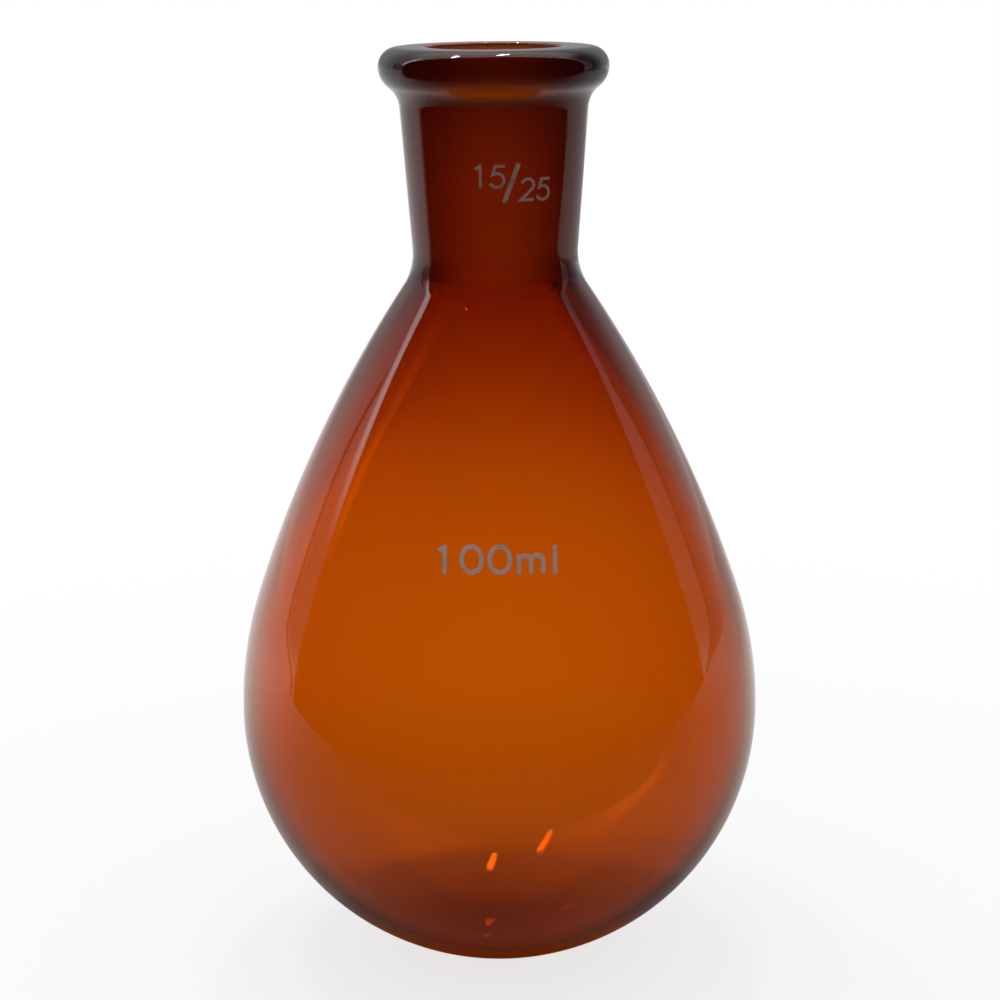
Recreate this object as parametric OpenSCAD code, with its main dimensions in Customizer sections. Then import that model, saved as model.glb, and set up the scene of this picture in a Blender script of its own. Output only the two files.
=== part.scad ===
// Pear-shaped evaporating flask in amber glass: a blown round-bottom bulb sealed to a ground taper socket.
// Millimetres. +Z runs up the flask's axis, and the origin is the lowest point of the round bottom.

/* [Bulb] */
// Outer diameter of the belly, which is also the diameter of the round bottom
bulb_d = 60; // [44:0.5:90]
// Wall thickness at the bottom and the belly
bulb_wall = 1.3; // [1:0.1:2.5]
// Outer radius of the arc that starts above the belly's widest ring
belly_r = 44; // [34:0.5:60]
// Angle that the belly arc turns through before the shoulder arc takes over, in degrees
belly_turn = 18.5; // [12:0.5:24]
// Radius of the long outer arc of the shoulder
shoulder_r = 148; // [115:1:260]
// Radius of the shoulder's inner arc, smaller so that the wall thickens towards the neck
shoulder_in_r = 107; // [80:1:125]

/* [Neck] */
// Outer diameter of the neck at its narrowest ring
neck_d = 18.5; // [15:0.1:24]
// Growth of the neck's outer radius for each millimetre of height
neck_lean = 0.075; // [0:0.005:0.1]
// Radius of the outer hollow where the shoulder turns into the neck
throat_r = 6.7; // [4:0.1:9]
// Radius of the inner round where the bulb turns into the bore
throat_in_r = 2.5; // [1:0.1:8]

/* [Ground socket] */
// Diameter of the ground taper at its wide end
taper_d = 15; // [11:0.1:17]
// Length of the ground taper
taper_h = 25; // [16:0.5:40]
// Length over which the taper's diameter grows by one millimetre
taper_ratio = 10; // [8:1:30]
// Plain bore between the seal and the taper's narrow end
tail_h = 0.2; // [0.1:0.05:6]
// Radius of the fire-polished edge round the mouth
mouth_r = 0.25; // [0.1:0.05:0.6]

/* [Rim bead] */
// How far the bead stands out from the neck's cone, measured at the rim
bead_out = 1.8; // [1.2:0.05:3]
// Radius of the bead's upper round
bead_top_r = 2.1; // [1.2:0.1:2.6]
// Radius of the bead's lower round
bead_low_r = 2.8; // [2:0.1:3.6]
// Radius of the hollow where the neck turns into the bead
bead_hollow_r = 3; // [1.5:0.1:4]

/* [Hidden] */
$fa = 2;
$fs = 0.2;
revolve_steps = 180;

// A point of the section is [distance from the axis, height].
// Unit vector that points outwards at an angle above the horizontal
function facing(angle) = [cos(angle), sin(angle)];
// Angle above the horizontal of a vector
function angle_of(v) = atan2(v[1], v[0]);
// Centre of an arc that carries on, without a kink, where another arc has turned as far as angle
function next_centre(centre, radius, next_radius, angle) = centre + (radius - next_radius) * facing(angle);
// Centre of the throat round: it touches a bore or neck of radius inner_r and the shoulder arc
function throat_centre(inner_r, round_r, arc_centre, arc_r) = [
    inner_r + round_r,
    arc_centre[1] + sqrt(pow(arc_r + round_r, 2) - pow(inner_r + round_r - arc_centre[0], 2))
];

// Bulb, outside and inside
bulb_r = bulb_d / 2;
bulb_in_r = bulb_r - bulb_wall;
belly_in_r = belly_r - bulb_wall;
belly_centre = [bulb_r - belly_r, bulb_r];
shoulder_centre = next_centre(belly_centre, belly_r, shoulder_r, belly_turn);
shoulder_in_centre = next_centre(belly_centre, belly_in_r, shoulder_in_r, belly_turn);
shoulder_z = belly_centre[1] + belly_r * sin(belly_turn);
shoulder_in_z = belly_centre[1] + belly_in_r * sin(belly_turn);

// Throat, outside and inside. The seal lies at the top of the inner round.
neck_r = neck_d / 2;
bore_r = (taper_d - taper_h / taper_ratio) / 2;
throat = throat_centre(neck_r, throat_r, shoulder_centre, shoulder_r);
throat_in = throat_centre(bore_r, throat_in_r, shoulder_in_centre, shoulder_in_r);
throat_z = throat[1] - throat_r * sin(angle_of(throat - shoulder_centre));
throat_in_z = throat_in[1] - throat_in_r * sin(angle_of(throat_in - shoulder_in_centre));
seal_z = throat_in[1];

// Socket: heights follow from the seal
taper_z = seal_z + tail_h;
mouth_z = taper_z + taper_h;
rim_z = mouth_z + mouth_r;

// Neck cone: it leaves the throat's hollow without a kink
neck_angle = atan(neck_lean);
neck_face = facing(-neck_angle);
neck_way = facing(90 - neck_angle);
neck_foot = throat - throat_r * neck_face;
neck_rim_r = neck_foot[0] + (rim_z - neck_foot[1]) * neck_lean;

// Bead: two rounds that share the widest ring, and the hollow under them
bead_r = neck_rim_r + bead_out;
bead_z = rim_z - bead_top_r;
bead_top_centre = [bead_r - bead_top_r, bead_z];
bead_low_centre = [bead_r - bead_low_r, bead_z];
// The hollow's centre slides up the neck until it touches the lower round
hollow_start = neck_foot + bead_hollow_r * neck_face - bead_low_centre;
hollow_slide = hollow_start * neck_way;
hollow_reach = pow(bead_low_r + bead_hollow_r, 2) - hollow_start * hollow_start + pow(hollow_slide, 2);
neck_slant = -hollow_slide - sqrt(hollow_reach);
neck_top = neck_foot + neck_slant * neck_way;
hollow_centre = neck_top + bead_hollow_r * neck_face;
hollow_z = hollow_centre[1] - bead_hollow_r * sin(angle_of(hollow_centre - bead_low_centre));

// Side of the squares that cut the section: far more than the flask's height
reach = 5 * (bulb_d + taper_h);

// Moves to a place by its whole millimetres, its thousandths and the rest in turn, which keeps every digit,
// so that neighbouring arcs meet exactly
module at(place) {
    whole = [for (v = place) floor(v)];
    part = [for (v = place - whole) floor(1000 * v) / 1000];
    translate(whole)
        translate(part)
            translate(place - whole - part)
                children();
}

// Everything on the outer side of the axis above a height
module above(height) {
    at([0, height])
        square(reach);
}

// Everything on the outer side of the axis between two heights
module band(low, high) {
    difference() {
        above(low);
        above(high);
    }
}

// What lies nearer the axis than a radius, between two heights
module core_band(radius, low, high) {
    intersection() {
        band(low, high);
        square([radius, reach]);
    }
}

// The inside of an arc, between two heights
module arc_band(centre, radius, low, high) {
    intersection() {
        at(centre)
            circle(r = radius);
        band(low, high);
    }
}

// What an outward-facing hollow leaves between the axis and its arc, between two heights
module hollow_band(centre, radius, low, high) {
    difference() {
        core_band(centre[0], low, high);
        at(centre)
            circle(r = radius);
    }
}

// The inside of a cone that starts at a foot and widens by lean for each millimetre, up to a height
module cone_band(foot, lean, high) {
    difference() {
        intersection() {
            at(foot)
                polygon([[-reach, 0], [0, 0], [lean * reach, reach], [-reach, reach]]);
            above(foot[1]);
        }
        above(high);
    }
}

// Half section of the whole outside, from the round bottom to the flat rim
module outer_section() {
    arc_band([0, bulb_r], bulb_r, -bulb_r, bulb_r);
    arc_band(belly_centre, belly_r, bulb_r, shoulder_z);
    arc_band(shoulder_centre, shoulder_r, shoulder_z, throat_z);
    hollow_band(throat, throat_r, throat_z, neck_foot[1]);
    cone_band(neck_foot, neck_lean, neck_top[1]);
    hollow_band(hollow_centre, bead_hollow_r, neck_top[1], hollow_z);
    core_band(bead_low_centre[0], hollow_z, bead_z);
    arc_band(bead_low_centre, bead_low_r, hollow_z, bead_z);
    core_band(bead_top_centre[0], bead_z, rim_z);
    arc_band(bead_top_centre, bead_top_r, bead_z, reach);
}

// Half section of the space inside, from the bottom to the mouth
module inner_section() {
    arc_band([0, bulb_r], bulb_in_r, -bulb_r, bulb_r);
    arc_band(belly_centre, belly_in_r, bulb_r, shoulder_in_z);
    arc_band(shoulder_in_centre, shoulder_in_r, shoulder_in_z, throat_in_z);
    hollow_band(throat_in, throat_in_r, throat_in_z, seal_z);
    core_band(bore_r, seal_z, taper_z);
    cone_band([bore_r, taper_z], 1 / taper_ratio / 2, mouth_z);
    hollow_band([taper_d / 2 + mouth_r, mouth_z], mouth_r, mouth_z, rim_z);
}

// The wall between two heights, turned about the flask's axis
module wall(low, high) {
    rotate_extrude($fn = revolve_steps)
        intersection() {
            difference() {
                outer_section();
                inner_section();
            }
            band(low, high);
        }
}

module bulb() {
    color("darkorange")
        wall(-bulb_r, seal_z);
}

module ground_socket() {
    color("firebrick")
        wall(seal_z, reach);
}

bulb();
ground_socket();
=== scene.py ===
# Looks of the pear-shaped amber flask: one wall of glass with a ground socket, and its enamel marks.
# The frame is in metres, the dictionaries give millimetres, and the printed side faces -Y.
import math

import bpy
import numpy as np
from mathutils import Matrix, Vector


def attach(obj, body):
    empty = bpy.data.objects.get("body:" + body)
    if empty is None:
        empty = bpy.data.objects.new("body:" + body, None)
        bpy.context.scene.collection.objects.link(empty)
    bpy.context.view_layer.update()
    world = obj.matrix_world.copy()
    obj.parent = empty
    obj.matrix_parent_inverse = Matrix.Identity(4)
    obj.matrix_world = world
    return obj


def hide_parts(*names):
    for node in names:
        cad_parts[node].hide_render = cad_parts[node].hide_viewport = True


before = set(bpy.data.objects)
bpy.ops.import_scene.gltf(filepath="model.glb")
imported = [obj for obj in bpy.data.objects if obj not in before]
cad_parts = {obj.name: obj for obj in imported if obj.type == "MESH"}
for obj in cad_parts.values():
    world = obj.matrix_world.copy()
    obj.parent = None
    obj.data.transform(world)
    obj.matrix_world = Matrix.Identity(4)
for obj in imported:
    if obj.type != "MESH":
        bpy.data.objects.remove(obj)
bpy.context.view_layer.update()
mm = 0.001
print("frame loaded:", sorted(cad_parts))


# Shader helpers


class Wire:
    # One output socket of a node tree: + - * / with wires or numbers add Math nodes to that tree.
    def __init__(self, tree, socket):
        self.tree = tree
        self.socket = socket

    def math(self, operation, first, second):
        return self.tree.node("ShaderNodeMath", {"operation": operation}, {0: first, 1: second})

    def __add__(self, other):
        return self.math("ADD", self, other)

    def __radd__(self, other):
        return self.math("ADD", other, self)

    def __sub__(self, other):
        return self.math("SUBTRACT", self, other)

    def __rsub__(self, other):
        return self.math("SUBTRACT", other, self)

    def __mul__(self, other):
        return self.math("MULTIPLY", self, other)

    def __rmul__(self, other):
        return self.math("MULTIPLY", other, self)

    def __truediv__(self, other):
        return self.math("DIVIDE", self, other)

    def larger(self, other):
        return self.math("MAXIMUM", self, other)

    def above(self, level):
        return self.math("GREATER_THAN", self, level)


class ShaderTree:
    # A cleared node tree, whose nodes all come from one method.
    def __init__(self, owner):
        owner.use_nodes = True
        self.nodes = owner.node_tree.nodes
        self.links = owner.node_tree.links
        self.nodes.clear()

    def node(self, kind, settings=None, inputs=None, output=0):
        made = self.nodes.new(kind)
        for name, value in (settings or {}).items():
            setattr(made, name, value)
        for name, value in (inputs or {}).items():
            if isinstance(value, Wire):
                self.links.new(value.socket, made.inputs[name])
            else:
                made.inputs[name].default_value = value
        return Wire(self, made.outputs[output]) if made.outputs else None

    def step(self, value, low, high):
        # 0 below low, 1 above high, and a smooth ramp between them
        return self.node(
            "ShaderNodeMapRange",
            {"interpolation_type": "SMOOTHSTEP"},
            {"Value": value, "From Min": low, "From Max": high},
        )

    def ramp(self, value, reach):
        # the same ramp for a value in metres, between two places in millimetres
        return self.step(value, reach[0] * mm, reach[1] * mm)

    def noise(self, scale, detail, roughness):
        return self.node(
            "ShaderNodeTexNoise",
            {"noise_dimensions": "3D"},
            {"Vector": self.objectPoint(), "Scale": scale, "Detail": detail, "Roughness": roughness},
        )

    def mixed(self, share, first, second):
        # first where share is 0, second where it is 1
        return self.node("ShaderNodeMix", {"data_type": "RGBA"}, {"Factor": share, 6: first, 7: second}, 2)

    def objectPoint(self):
        return self.node("ShaderNodeTexCoord", output="Object")

    def part(self, vector, axis):
        return self.node("ShaderNodeSeparateXYZ", None, {0: vector}, axis)


# Mesh helpers


def arc(centre, radius, start, end, steps):
    # Point at angle a: centre + radius * (cos a, sin a), with a going evenly from start to end, in degrees
    angles = np.radians(np.linspace(start, end, steps + 1))
    return np.asarray(centre) + radius * np.column_stack([np.cos(angles), np.sin(angles)])


def line(start, end, steps):
    # Point at share t: start + t * (end - start), with t going evenly from 0 to 1
    share = np.linspace(0, 1, steps + 1)[:, None]
    return np.asarray(start) + share * (np.asarray(end) - np.asarray(start))


def chain(*stretches):
    # One run of points: each stretch starts on the last point of the one before, which is kept once
    return np.vstack([stretches[0]] + [stretch[1:] for stretch in stretches[1:]])


def angleOf(vector):
    # Angle of [across, up] above the horizontal, in degrees
    return math.degrees(math.atan2(vector[1], vector[0]))


def unit(degrees):
    # [cos a, sin a] of an angle a above the horizontal
    return np.array([math.cos(math.radians(degrees)), math.sin(math.radians(degrees))])


def gridFaces(rows, columns, closedRows, closedColumns):
    # Quad (i, j) joins grid points (i, j), (i, j+1), (i+1, j+1) and (i+1, j); a closed direction wraps round
    i, j = np.meshgrid(
        np.arange(rows if closedRows else rows - 1),
        np.arange(columns if closedColumns else columns - 1),
        indexing="ij",
    )
    here = i * columns
    below = (i + 1) % rows * columns
    right = (j + 1) % columns
    return np.stack([here + j, here + right, below + right, below + j], -1).reshape(-1, 4)


def newPiece(name, points, faces, material):
    # points in millimetres; the mesh is in metres and carries its own place
    mesh = bpy.data.meshes.new(name)
    mesh.from_pydata(points * mm, [], faces)
    mesh.shade_smooth()
    mesh.materials.append(material)
    mesh.validate()
    piece = bpy.data.objects.new(name, mesh)
    bpy.context.scene.collection.objects.link(piece)
    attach(piece, "root")
    return piece


# Glass wall: the same rounds as the solids, turned as one closed skin, because the flame melts both into one

glassWall = {
    "bulbRadius": 30.0,
    "bulbWall": 1.3,
    "bellyRadius": 44.0,
    "bellyTurn": 18.5,  # degrees
    "shoulderRadius": 148.0,
    "shoulderInRadius": 107.0,
    "neckRadius": 9.25,
    "neckLean": 0.075,  # radius for each millimetre of height
    "throatRadius": 6.7,
    "throatInRadius": 2.5,
    "taperRadius": 7.5,
    "taperHeight": 25.0,
    "taperSlope": 0.05,
    "tailHeight": 0.2,
    "mouthRound": 0.25,
    "beadOut": 1.8,
    "beadTopRadius": 2.1,
    "beadLowRadius": 2.8,
    "beadHollowRadius": 3.0,
    "groundDepth": 26.3,  # how far below the rim the last of the matt grinding reaches
    "groundFade": 0.5,
    "turns": 256,
}


def wallProfile(size):
    # Half section [radius, height]: from the outer bottom up to the rim, through the bore and down to the
    # inner bottom, in tangent arcs and lines. Each next centre lies on the line through the touching point.
    bulbRadius = size["bulbRadius"]
    wall = size["bulbWall"]
    turn = size["bellyTurn"]
    bellyCentre = np.array([bulbRadius - size["bellyRadius"], bulbRadius])
    bellyIn = size["bellyRadius"] - wall
    shoulderCentre = bellyCentre + (size["bellyRadius"] - size["shoulderRadius"]) * unit(turn)
    shoulderInCentre = bellyCentre + (bellyIn - size["shoulderInRadius"]) * unit(turn)

    def throatCentre(innerRadius, roundRadius, arcCentre, arcRadius):
        # Centre of the round that touches a bore or neck of innerRadius and the shoulder's arc
        across = innerRadius + roundRadius
        rise = math.sqrt((arcRadius + roundRadius) ** 2 - (across - arcCentre[0]) ** 2)
        return np.array([across, arcCentre[1] + rise])

    boreRadius = size["taperRadius"] - size["taperSlope"] * size["taperHeight"]
    throat = throatCentre(size["neckRadius"], size["throatRadius"], shoulderCentre, size["shoulderRadius"])
    throatIn = throatCentre(boreRadius, size["throatInRadius"], shoulderInCentre, size["shoulderInRadius"])
    throatTurn = angleOf(throat - shoulderCentre)
    throatInTurn = angleOf(throatIn - shoulderInCentre)
    taperFoot = throatIn[1] + size["tailHeight"]
    mouth = taperFoot + size["taperHeight"]
    rim = mouth + size["mouthRound"]

    leanAngle = math.degrees(math.atan(size["neckLean"]))
    neckFace = unit(-leanAngle)
    neckWay = unit(90 - leanAngle)
    neckFoot = throat - size["throatRadius"] * neckFace
    beadRadius = neckFoot[0] + (rim - neckFoot[1]) * size["neckLean"] + size["beadOut"]
    beadHeight = rim - size["beadTopRadius"]
    beadTop = np.array([beadRadius - size["beadTopRadius"], beadHeight])
    beadLow = np.array([beadRadius - size["beadLowRadius"], beadHeight])
    hollowStart = neckFoot + size["beadHollowRadius"] * neckFace - beadLow
    slide = hollowStart @ neckWay
    reach = (size["beadLowRadius"] + size["beadHollowRadius"]) ** 2 - hollowStart @ hollowStart + slide**2
    neckTop = neckFoot + (-slide - math.sqrt(reach)) * neckWay
    hollow = neckTop + size["beadHollowRadius"] * neckFace
    hollowTurn = angleOf(hollow - beadLow)

    def boreAt(height):
        # Point of the taper: its narrow radius + slope * height above its foot
        return [boreRadius + size["taperSlope"] * (height - taperFoot), height]

    groundEnd = rim - size["groundDepth"]
    landEnd = size["taperRadius"] + size["mouthRound"]
    bottomCentre = [0, bulbRadius]
    profile = chain(
        arc(bottomCentre, bulbRadius, -90, 0, 64),
        arc(bellyCentre, size["bellyRadius"], 0, turn, 18),
        arc(shoulderCentre, size["shoulderRadius"], turn, throatTurn, 40),
        arc(throat, size["throatRadius"], throatTurn + 180, 180 - leanAngle, 14),
        line(neckFoot, neckTop, 8),
        arc(hollow, size["beadHollowRadius"], 180 - leanAngle, hollowTurn + 180, 10),
        arc(beadLow, size["beadLowRadius"], hollowTurn, 0, 14),
        arc(beadTop, size["beadTopRadius"], 0, 90, 18),
        line([beadTop[0], rim], [landEnd, rim], 4),
        arc([landEnd, mouth], size["mouthRound"], 90, 180, 6),
        line(boreAt(mouth), boreAt(taperFoot), 22),
        line(boreAt(taperFoot), [boreRadius, throatIn[1]], 2),
        arc(throatIn, size["throatInRadius"], 180, 180 + throatInTurn, 14),
        arc(shoulderInCentre, size["shoulderInRadius"], throatInTurn, turn, 36),
        arc(bellyCentre, bellyIn, turn, 0, 18),
        arc(bottomCentre, bulbRadius - wall, 0, -90, 64),
    )
    return profile, groundEnd


def turnedWall(name, size, material):
    # Point (i, k): profile radius r_i turned by angle 2 pi k / turns, at height z_i; both ends of the profile
    # lie on the axis and become one pole point each.
    profile, groundEnd = wallProfile(size)
    turns = size["turns"]
    angles = 2 * np.pi * np.arange(turns) / turns
    body = profile[1:-1]
    rows = len(body)
    ring = np.stack(
        [
            body[:, :1] * np.cos(angles),
            body[:, :1] * np.sin(angles),
            np.broadcast_to(body[:, 1:], (rows, turns)),
        ],
        -1,
    )
    points = np.vstack([ring.reshape(-1, 3), [0, 0, profile[0, 1]], [0, 0, profile[-1, 1]]])
    quads = gridFaces(rows, turns, False, True)
    k = np.arange(turns)
    ahead = (k + 1) % turns
    last = (rows - 1) * turns
    outerPole = np.stack([ahead, k, np.full(turns, rows * turns)], -1)
    innerPole = np.stack([last + k, last + ahead, np.full(turns, rows * turns + 1)], -1)
    faces = quads.tolist() + outerPole.tolist() + innerPole.tolist()
    piece = newPiece(name, points, faces, material)

    # Share of grinding at each point: a ramp at the lower end of the ground stretch, on the bore's rows only
    slack = 1e-6
    boreRows = (body[:, 0] <= size["taperRadius"] + slack) & (body[:, 1] > groundEnd)
    share = np.clip((body[:, 1] - groundEnd) / size["groundFade"], 0, 1) * boreRows
    ground = np.append(np.repeat(share, turns), [0, 0])
    layer = piece.data.attributes.new("ground", "FLOAT", "POINT")
    layer.data.foreach_set("value", ground.astype(np.float32))
    return piece


amberGlass = {
    "ior": 1.474,
    "tint": (1.0, 0.6, 0.04, 1.0),  # what one wall lets through, however thin it is
    "groundTopShaded": (0.41, 0.23, 0.015, 1.0),  # the matt bore throws much of the light back; darker here than at its foot is painted shade, and the lighter foot is painted light from the bulb's glow below
    "groundFootLit": (0.74, 0.43, 0.02, 1.0),
    "groundShadeHeights": (90.0, 104.0),
    "groundLipLit": (1.0, 0.66, 0.25, 1.0),  # painted light: lighter next to the mouth, where light falls in through the open top; the bore stays matt there
    "lipLightHeights": (104.1, 104.7),
    "runOutHeights": (79.0, 87.0),  # the grinding gets finer and clearer towards its lower end
    "coarseEnd": (81.5, 81.9),  # below this only the fine run-out is left
    "absorbed": (0.751, 0.455, 0.0, 1.0),
    "density": 1000.0,  # per metre
    "polished": 0.0,
    "groundRoughness": 0.62,
    "roughnessSpread": 0.12,
    "grain": 9000.0,  # scale of the matt surface's grains
    "grainRelief": 0.000004,  # metres
    "cords": 55.0,  # scale of the slow waves in blown glass
    "cordRelief": 0.00003,  # metres
    "bumpStrength": 0.25,
}


def amberGlassMaterial(look):
    # Clear amber glass: its colour comes from the wall's thickness, and the ground bore scatters what passes
    material = bpy.data.materials.new("amberGlass")
    tree = ShaderTree(material)
    ground = tree.node("ShaderNodeAttribute", {"attribute_name": "ground"}, output="Fac")
    grain = tree.noise(look["grain"], 3.0, 0.6)
    cords = tree.noise(look["cords"], 1.0, 0.4)
    relief = grain * ground * look["grainRelief"] + cords * (1 - ground) * look["cordRelief"]
    bump = tree.node(
        "ShaderNodeBump", None, {"Strength": look["bumpStrength"], "Distance": 1.0, "Height": relief}
    )
    spread = (grain - 0.5) * look["roughnessSpread"]
    roughness = look["polished"] + ground * (look["groundRoughness"] + spread)
    level = tree.part(tree.objectPoint(), "Z")
    # Painted shade and light down the matt bore: darker towards the mouth, lighter at its foot near the bulb
    matt = tree.mixed(tree.ramp(level, look["groundShadeHeights"]), look["groundFootLit"], look["groundTopShaded"])
    # Painted light at the lip of the bore
    matt = tree.mixed(tree.ramp(level, look["lipLightHeights"]), matt, look["groundLipLit"])
    matt = tree.mixed(tree.ramp(level, look["runOutHeights"]), look["tint"], matt)
    matt = tree.mixed(tree.ramp(level, look["coarseEnd"]), look["tint"], matt)
    colour = tree.mixed(ground, look["tint"], matt)
    surface = tree.node(
        "ShaderNodeBsdfPrincipled",
        None,
        {
            "Base Color": colour,
            "Roughness": roughness,
            "IOR": look["ior"],
            "Transmission Weight": 1.0,
            "Normal": bump,
        },
    )
    inside = tree.node(
        "ShaderNodeVolumeAbsorption", None, {"Color": look["absorbed"], "Density": look["density"]}
    )
    tree.node("ShaderNodeOutputMaterial", None, {"Surface": surface, "Volume": inside})
    return material


glass = turnedWall("flaskGlass", glassWall, amberGlassMaterial(amberGlass))
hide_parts("bulb", "ground_socket")
print("glass wall:", len(glass.data.vertices), "points")


# Enamel marks: strokes of an even width, laid on the outer wall

markEnamel = {
    # The white enamel is drawn as a grey: painted shade for the dim light in front of it, with real worn
    # patches
    "paleInShade": (0.35, 0.21, 0.175, 1.0),
    "wornInShade": (0.28, 0.14, 0.1, 1.0),
    "neckPaleShaded": (0.185, 0.092, 0.078, 1.0),  # painted shade: the same paint drawn darker on the neck, where the dark glass behind it lets less light through
    "neckWornShaded": (0.12, 0.055, 0.04, 1.0),
    "neckShadeHeights": (70.0, 80.0),  # between the two marks
    "roughness": 0.55,
    "roughnessSpread": 0.2,
    "speckle": 4500.0,  # scale of the paint's grains, and of the worn patches
    "patches": 750.0,
    "wearReach": (0.47, 0.68),
    "bumpStrength": 0.3,
    "bumpHeight": 0.00002,  # metres
}


def enamelMaterial(look):
    # Matt fired-on paint, a little thinner in patches, where the amber below shows through
    material = bpy.data.materials.new("markEnamel")
    tree = ShaderTree(material)
    speckle = tree.noise(look["speckle"], 3.0, 0.6)
    patches = tree.noise(look["patches"], 2.0, 0.5)
    wear = tree.step(speckle * 0.5 + patches * 0.5, *look["wearReach"])
    # Painted shade on the neck's mark: a darker copy of the same paint above these heights
    neckShade = tree.ramp(tree.part(tree.objectPoint(), "Z"), look["neckShadeHeights"])
    onBulb = tree.mixed(wear, look["paleInShade"], look["wornInShade"])
    onNeckShaded = tree.mixed(wear, look["neckPaleShaded"], look["neckWornShaded"])
    colour = tree.mixed(neckShade, onBulb, onNeckShaded)
    bump = tree.node(
        "ShaderNodeBump",
        None,
        {"Strength": look["bumpStrength"], "Distance": look["bumpHeight"], "Height": speckle},
    )
    roughness = look["roughness"] + (speckle - 0.5) * look["roughnessSpread"]
    surface = tree.node(
        "ShaderNodeBsdfPrincipled", None, {"Base Color": colour, "Roughness": roughness, "Normal": bump}
    )
    tree.node("ShaderNodeOutputMaterial", None, {"Surface": surface})
    return material


def bow(centre, radii, start, end, steps):
    # Point at angle a of an ellipse: centre + (radius across * cos a, radius up * sin a), a in degrees
    return np.asarray(centre) + arc([0, 0], 1.0, start, end, steps) * np.asarray(radii)


def figureSpines(figure):
    # Middle lines of a figure's strokes. One unit is the figure's height between the middles of its strokes.
    end = 0.06
    if figure == "0":
        return [bow([0, 0.5], [0.387, 0.5], 0, 360, 56)]
    if figure == "1":
        return [line([0, -end], [0, 1 + end], 8), line([-0.24, 0.82], [0, 0.98], 4)]
    if figure == "2":
        head = bow([0.02, 0.711], [0.302, 0.289], 165, -32, 28)
        return [chain(head, line(head[-1], [-0.333, 0], 8), line([-0.333, 0], [0.32, 0], 6))]
    if figure == "5":
        bowl = bow([0, 0.329], [0.347, 0.329], 122, -155, 32)
        return [chain(line([0.4, 1], [-0.067, 1], 5), line([-0.067, 1], bowl[0], 5), bowl)]
    if figure == "l":
        return [line([0, -end], [0, 1 + end], 8)]
    if figure == "m":
        arch = bow([0.2335, 0.424], [0.2335, 0.23], 180, 0, 16)
        leg = chain(arch, line(arch[-1], [arch[-1, 0], -end], 6))
        return [line([-0.467, -end], [-0.467, 0.654 + end], 8), leg - [0.467, 0], leg]
    return [line([-0.362, -0.44], [0.362, 1.44], 12)]  # slash


def strokeBand(spine, width, lift, sink):
    # Point (i, k): spine point i + share across * mitred side vector, raised by the profile's height.
    # The profile is a low crown: lift * (1 - share^4 / 2) on top and -sink below. The side vector is the sum
    # of the two neighbouring normals, stretched so that the stroke keeps its width round a corner.
    closed = np.allclose(spine[0], spine[-1])
    points = spine[:-1] if closed else spine
    steps = np.roll(points, -1, 0) - points
    steps = steps / np.linalg.norm(steps, axis=1, keepdims=True)
    before = np.roll(steps, 1, 0)
    if not closed:
        before[0] = steps[0]
        steps[-1] = before[-1]
    normals = np.stack([-steps[:, 1], steps[:, 0]], -1)
    normalsBefore = np.stack([-before[:, 1], before[:, 0]], -1)
    side = normals + normalsBefore
    side = side / np.sum(side * normals, axis=1, keepdims=True)
    ribs = 5
    share = np.linspace(-1, 1, ribs)
    across = np.concatenate([share, share[::-1]]) * width / 2
    height = np.concatenate([lift * (1 - share**4 / 2), np.full(ribs, -sink)])
    flat = points[:, None, :] + across[None, :, None] * side[:, None, :]
    raised = np.broadcast_to(height[None, :, None], flat.shape[:2] + (1,))
    band = np.concatenate([flat, raised], -1)
    rows, columns = band.shape[:2]
    faces = gridFaces(rows, columns, closed, True)[:, ::-1].tolist()
    if not closed:
        faces.append(list(range(columns)))
        faces.append([(rows - 1) * columns + k for k in reversed(range(columns))])
    return band.reshape(-1, 3), faces


def ontoWall(points, foot):
    # Flat point (x, y, raise) goes y millimetres up the outer wall's section from the height foot,
    # x millimetres round it, and out along its normal: angle = x / radius, measured from the -Y side.
    wallRows = 150  # the section's rows from the bottom to the hollow under the bead
    outer = wallProfile(glassWall)[0][:wallRows]
    length = np.concatenate([[0], np.cumsum(np.linalg.norm(np.diff(outer, axis=0), axis=1))])
    way = np.gradient(outer, length, axis=0)
    along = points[:, 1] + np.interp(foot, outer[:, 1], length)
    radius = np.interp(along, length, outer[:, 0])
    height = np.interp(along, length, outer[:, 1])
    angle = points[:, 0] / radius
    reach = radius + points[:, 2] * np.interp(along, length, way[:, 1])
    rise = height - points[:, 2] * np.interp(along, length, way[:, 0])
    return np.column_stack([reach * np.sin(angle), -reach * np.cos(angle), rise])


marks = {
    # each figure has its place [round the wall from the front, height of its foot], in millimetres
    "capacityMark": {
        "figures": [
            ("1", -5.66, 52.53),
            ("0", -2.78, 52.65),
            ("0", 0.19, 52.65),
            ("m", 3.5, 52.58),
            ("l", 6.07, 52.45),
        ],
        "height": 2.75,
        "width": 0.5,
    },
    "jointMark": {
        "figures": [
            ("1", -1.54, 91.35),
            ("5", 0.22, 91.28),
            ("/", 1.815, 90.58),
            ("2", 3.6, 89.84),
            ("5", 5.43, 89.78),
        ],
        "height": 2.25,
        "width": 0.33,
        "slashWidth": 0.52,
    },
}
enamel = {"lift": 0.035, "sink": 0.02}
enamelLook = enamelMaterial(markEnamel)
for markName, mark in marks.items():
    markPoints = []
    markFaces = []
    count = 0
    for figure, roundWall, foot in mark["figures"]:
        width = mark["slashWidth"] if figure == "/" else mark["width"]
        for spine in figureSpines(figure):
            scaled = spine * mark["height"] + [roundWall, 0]
            bandPoints, bandFaces = strokeBand(scaled, width, enamel["lift"], enamel["sink"])
            markPoints.append(ontoWall(bandPoints, foot))
            markFaces += [[corner + count for corner in face] for face in bandFaces]
            count += len(bandPoints)
    newPiece(markName, np.vstack(markPoints), markFaces, enamelLook)
    print(markName, "laid on the wall,", count, "points")


# Studio: white behind and below, dark in front, so that the polished glass shows the edges of the opening

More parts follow.
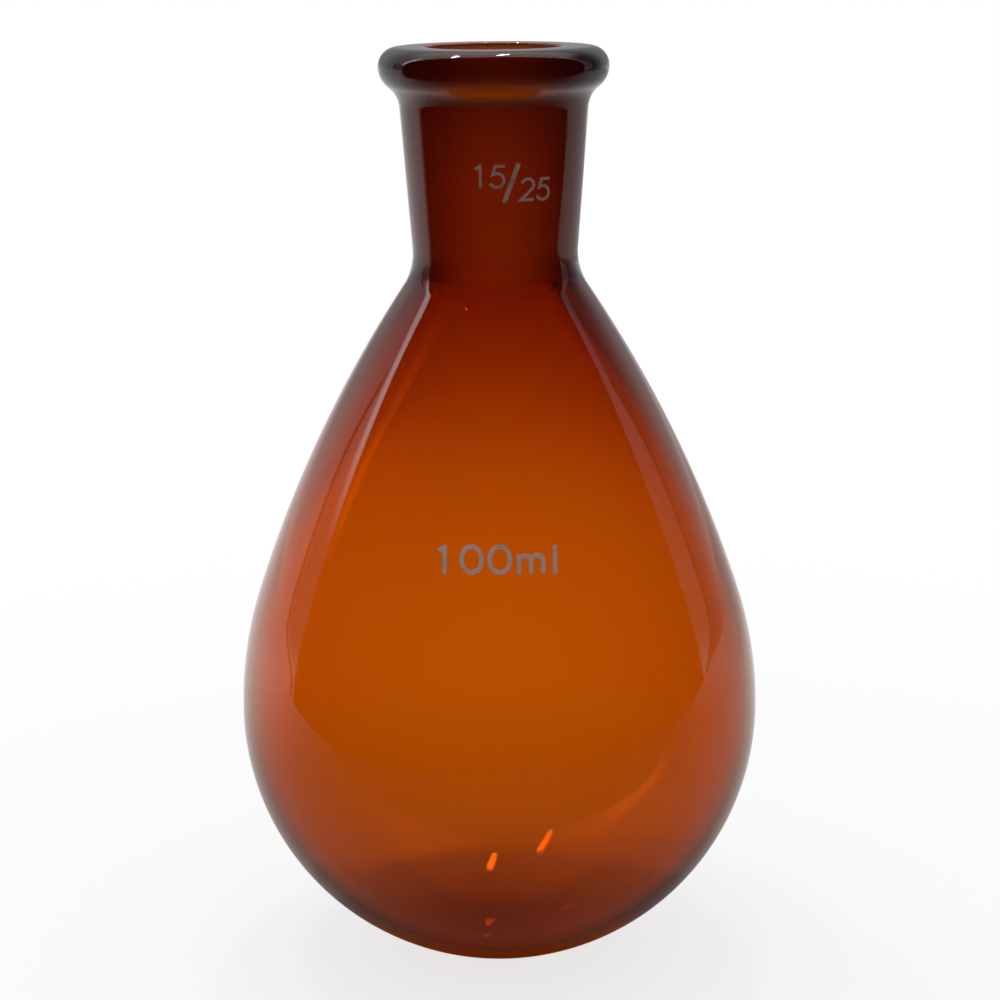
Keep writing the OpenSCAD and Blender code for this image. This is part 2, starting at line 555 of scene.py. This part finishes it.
studio = {
    # levels are shares of white, and places are shares of a direction: back, up or to the right
    "ambient": 0.7,  # what falls on matt surfaces
    "backLevel": 0.92,  # the wall behind the flask, seen through it
    "darkFront": 0.015,
    "wallEdge": 0.2,  # the white walls begin this far back
    "roofEdge": 1.05,  # and the roof where up + roofLean * back passes this
    "roofLean": 2.95,
    "edgeSoftness": 0.03,
    "lowReach": (-0.1, 0.06),  # from the floor's light to the wall's own
    "wallLow": 0.8,
    "wallHigh": 0.6,
    "wallBackDrop": 0.25,  # the back is less lit than the sides
    "backDropReach": (0.75, 1.0),
    "rightSoftness": 0.1,
    "rightNear": 0.2,  # share of that level on the right wall, at its front edge and at the back
    "rightFar": 0.95,
    "rightReach": (0.42, 0.92),
    "roofLevel": 1.3,  # overhead
    "overheadReach": (0.6, 0.8),
    "slitPlace": 0.45,  # dark slit between the lit strip at each side of the opening and the wall
    "slitHalf": 0.03,
    "slitDepth": 0.9,
    "slitBendUp": 0.17,  # it bends to the front at both ends
    "slitBendReach": (0.2, 0.5),
    "slitBendDown": 0.22,
    "slitTopReach": (0.36, 0.46),
    "stripLevel": 0.27,
    "stripTop": 0.6,
    "stripTopRight": 0.2,
    "stripTopReach": (0.18, 0.42),
    "stripFoot": 0.6,
    "rimTop": 2.2,  # bright edge of the left strip
    "rimWidth": 0.05,
    "innerGain": 0.6,  # added to the tent's level where light is turned round inside the wall
    "innerRightDrop": 0.4,  # less of it on the right
}


def lightWays(tree):
    # What looks: camera, through for what the camera sees straight through glass, and mirrored for a
    # reflection in glass; all are 0 for light that falls on a matt surface
    ways = ["Is Camera Ray", "Is Glossy Ray", "Is Transmission Ray", "Glossy Depth"]
    camera, glossy, passed, bounces = [tree.node("ShaderNodeLightPath", output=way) for way in ways]
    inGlass = glossy.larger(passed)
    mirrored = inGlass * bounces.above(0.5)  # one bounce or more
    return camera, inGlass - mirrored, mirrored


def studioWorld(look):
    # A white tent that is open and dark in front, as the glass mirrors it; plain white for the camera
    world = bpy.data.worlds.new("studio")
    bpy.context.scene.world = world
    tree = ShaderTree(world)
    camera, through, mirrored = lightWays(tree)
    turnedInside = tree.node("ShaderNodeLightPath", output="Transmission Depth").above(0.5)
    direction = tree.node("ShaderNodeTexCoord", output="Generated")
    sideways = tree.part(direction, "X")
    back = tree.part(direction, "Y")
    up = tree.part(direction, "Z")
    half = look["edgeSoftness"] / 2
    edge = look["wallEdge"]
    right = tree.step(sideways, -look["rightSoftness"], look["rightSoftness"])
    wall = tree.step(back, edge - half, edge + half)
    roof = tree.step(up + back * look["roofLean"], look["roofEdge"] - half, look["roofEdge"] + half)
    low = 1 - tree.step(up, *look["lowReach"])

    # The slit: beyond * (1 - beyond) * 4 is 1 in its middle and 0 at both sides
    bend = tree.step(up, *look["slitBendReach"]) * look["slitBendUp"]
    slitPlace = look["slitPlace"] - bend - low * look["slitBendDown"]
    beyond = tree.step(back - slitPlace, -look["slitHalf"], look["slitHalf"])
    slit = beyond * (1 - beyond) * 4 * (1 - tree.step(up, *look["slitTopReach"]))

    # The strips in front of it
    rim = (1 - tree.step(back, edge + look["rimWidth"], edge + 2 * look["rimWidth"])) * look["rimTop"]
    stripTop = look["stripTopRight"] + (1 - right) * (look["stripTop"] + rim - look["stripTopRight"])
    strip = look["stripLevel"] + tree.step(up, *look["stripTopReach"]) * stripTop + low * look["stripFoot"]

    # The walls behind it and the roof
    high = look["wallHigh"] - tree.step(back, *look["backDropReach"]) * look["wallBackDrop"]
    paper = high + low * (look["wallLow"] - high)
    rightGain = look["rightFar"] - look["rightNear"]
    rightLevel = look["rightNear"] + tree.step(back, *look["rightReach"]) * rightGain
    level = strip + beyond * (paper * (1 - right * (1 - rightLevel)) - strip)
    level = level + tree.step(up, *look["overheadReach"]) * (look["roofLevel"] - level)
    lit = level * (1 - slit * look["slitDepth"])
    tent = look["darkFront"] + wall.larger(roof) * (lit - look["darkFront"])

    innerGain = look["innerGain"] - right * look["innerRightDrop"]
    inGlass = mirrored * tent * (1 + turnedInside * innerGain)
    matt = 1 - camera - through - mirrored
    strength = camera + through * look["backLevel"] + inGlass + matt * look["ambient"]
    sky = tree.node("ShaderNodeBackground", None, {"Color": (1.0, 1.0, 1.0, 1.0), "Strength": strength})
    tree.node("ShaderNodeOutputWorld", None, {"Surface": sky})


paperFloor = {
    "front": 145.0,  # how far the paper reaches in front of the flask
    "cornerRound": 45.0,
    "frontSlope": 0.72,  # the paper lies with a corner towards the camera
    "frontSkew": 0.13,
    "back": 800.0,
    "side": 700.0,
    "drop": 0.05,
    "columns": 201,
    "rows": 9,
    "paper": (0.97, 0.97, 0.97, 1.0),
    "white": (1.0, 1.0, 1.0, 1.0),  # for the camera, with a soft shadow round the flask
    "shadowReach": (70.0, 190.0),
    "shadowShare": 0.25,
    "throughReach": (50.0, 105.0),  # seen through the flask, in shadow nearer than this
    "throughNear": 0.1,
    "fadeReach": (200.0, 760.0),  # and fading to the level of the wall behind
    "farPaper": (0.92, 0.92, 0.92, 1.0),
    "leftReach": (-90.0, -10.0),  # and brighter on the left: a painted pool of light
    "leftPaperLight": (1.35, 1.35, 1.35, 1.0),
    "frontPaperShade": (0.065, 0.065, 0.065, 1.0),  # as the glass mirrors it: painted shade, dim in front, away from the lamps
    "dimReach": (-90.0, 130.0),
    "rightReach": (40.0, 180.0),  # and dimmer on the right, also painted shade
    "rightDim": 0.4,
    "underAmberLight": (0.8, 0.22, 0.012, 1.0),  # painted amber light below the flask, standing in for what has come through the amber
    "contactReach": (10.0, 24.0),
}


def floorMaterial(look):
    # White for the camera, with the flask's shadow near it; dimmer in reflections as painted shade, as on
    # paper outside a tent
    material = bpy.data.materials.new("floorPaper")
    tree = ShaderTree(material)
    camera, through, mirrored = lightWays(tree)
    place = tree.objectPoint()
    across = tree.part(place, "X")
    distance = tree.node("ShaderNodeVectorMath", {"operation": "LENGTH"}, {0: place}, "Value")

    # Seen straight and through the glass
    straight = 1 - look["shadowShare"] * (1 - tree.ramp(distance, look["shadowReach"]))
    clear = look["throughNear"] + tree.ramp(distance, look["throughReach"]) * (1 - look["throughNear"])
    glow = camera * straight + through * clear
    # Painted light: the paper seen through the glass is brighter than white on the left
    leftLightShare = through * (1 - tree.ramp(across, look["leftReach"]))
    shine = tree.mixed(leftLightShare, look["white"], look["leftPaperLight"])
    shine = tree.mixed(through * tree.ramp(distance, look["fadeReach"]), shine, look["farPaper"])
    white = tree.node("ShaderNodeEmission", None, {"Color": shine, "Strength": 1.0})
    lit = tree.node("ShaderNodeBsdfDiffuse", None, {"Color": look["paper"]})
    shown = tree.node("ShaderNodeMixShader", None, {0: glow, 1: lit, 2: white})

    # Mirrored in the glass: painted shade in front and on the right, and painted amber light under the flask
    rightShadeShare = tree.ramp(across, look["rightReach"]) * look["rightDim"]
    backward = tree.ramp(tree.part(place, "Y"), look["dimReach"]) * (1 - rightShadeShare)
    dim = tree.node("ShaderNodeBsdfDiffuse", None, {"Color": look["frontPaperShade"]})
    openFloor = tree.node("ShaderNodeMixShader", None, {0: backward, 1: dim, 2: lit})
    # Painted amber light on the paper under the flask, near where it stands
    contact = tree.ramp(distance, look["contactReach"])
    under = tree.node("ShaderNodeBsdfDiffuse", None, {"Color": look["underAmberLight"]})
    reflected = tree.node("ShaderNodeMixShader", None, {0: contact, 1: under, 2: openFloor})
    surface = tree.node("ShaderNodeMixShader", None, {0: mirrored, 1: shown, 2: reflected})
    tree.node("ShaderNodeOutputMaterial", None, {"Surface": surface})
    return material


def studioFloor(look):
    # Point (i, j): x_i across, and y from the front edge to the back. The front edge is a rounded corner:
    # y = -front - round + sqrt(round^2 + (slope * x)^2) - skew * x
    across = np.linspace(-look["side"], look["side"], look["columns"])
    bend = np.sqrt(look["cornerRound"] ** 2 + (look["frontSlope"] * across) ** 2)
    edge = -look["front"] - look["cornerRound"] + bend - look["frontSkew"] * across
    share = np.linspace(0, 1, look["rows"])
    deep = edge[:, None] + share * (look["back"] - edge[:, None])
    wide = np.broadcast_to(across[:, None], deep.shape)
    points = np.stack([wide, deep, np.full(deep.shape, -look["drop"])], -1)
    faces = gridFaces(look["columns"], look["rows"], False, False)[:, ::-1]
    mesh = bpy.data.meshes.new("floor")
    mesh.from_pydata(points.reshape(-1, 3) * mm, [], faces.tolist())
    mesh.materials.append(floorMaterial(look))
    floor = bpy.data.objects.new("floor", mesh)
    bpy.context.scene.collection.objects.link(floor)


studioWorld(studio)
studioFloor(paperFloor)

lamps = {
    "leftLamp": {"place": (-174.0, 89.0, 620.0), "size": (22.0, 130.0), "turn": 90.0, "power": 0.5},
    "backLamp": {"place": (33.0, 188.0, 620.0), "size": (22.0, 130.0), "turn": 0.0, "power": 0.5},
}
lampTarget = Vector((0.0, 0.0, 50.0)) * mm
for lampName, look in lamps.items():
    lamp = bpy.data.lights.new(lampName, "AREA")
    lamp.shape = "RECTANGLE"
    lamp.size = look["size"][0] * mm
    lamp.size_y = look["size"][1] * mm
    lamp.energy = look["power"]
    holder = bpy.data.objects.new(lampName, lamp)
    place = Vector(look["place"]) * mm
    aim = (lampTarget - place).to_track_quat("-Z", "Y").to_matrix().to_4x4()
    turn = Matrix.Rotation(math.radians(look["turn"]), 4, "Z")
    holder.matrix_world = Matrix.Translation(place) @ aim @ turn
    bpy.context.scene.collection.objects.link(holder)
print("studio ready")


# Camera of the photograph

view = {
    "place": (0.27, -250.0, 118.27),
    "downward": 14.364,  # degrees
    "roll": -0.52,
    "lens": 80.6,
    "sensor": 36.0,
    "nearest": 10.0,
    "bounces": 32,  # light has to pass four walls and turn inside them
    "glossyBounces": 16,
}
camera = bpy.data.cameras.new("camera")
camera.lens = view["lens"]
camera.sensor_width = view["sensor"]
camera.clip_start = view["nearest"] * mm
cameraObject = bpy.data.objects.new("camera", camera)
tilt = Matrix.Rotation(math.radians(90 - view["downward"]), 4, "X")
roll = Matrix.Rotation(math.radians(view["roll"]), 4, "Z")
cameraObject.matrix_world = Matrix.Translation(Vector(view["place"]) * mm) @ tilt @ roll
bpy.context.scene.collection.objects.link(cameraObject)
bpy.context.scene.camera = cameraObject

scene = bpy.context.scene
scene.view_settings.view_transform = "Standard"
scene.cycles.max_bounces = view["bounces"]
scene.cycles.transmission_bounces = view["bounces"]
scene.cycles.glossy_bounces = view["glossyBounces"]
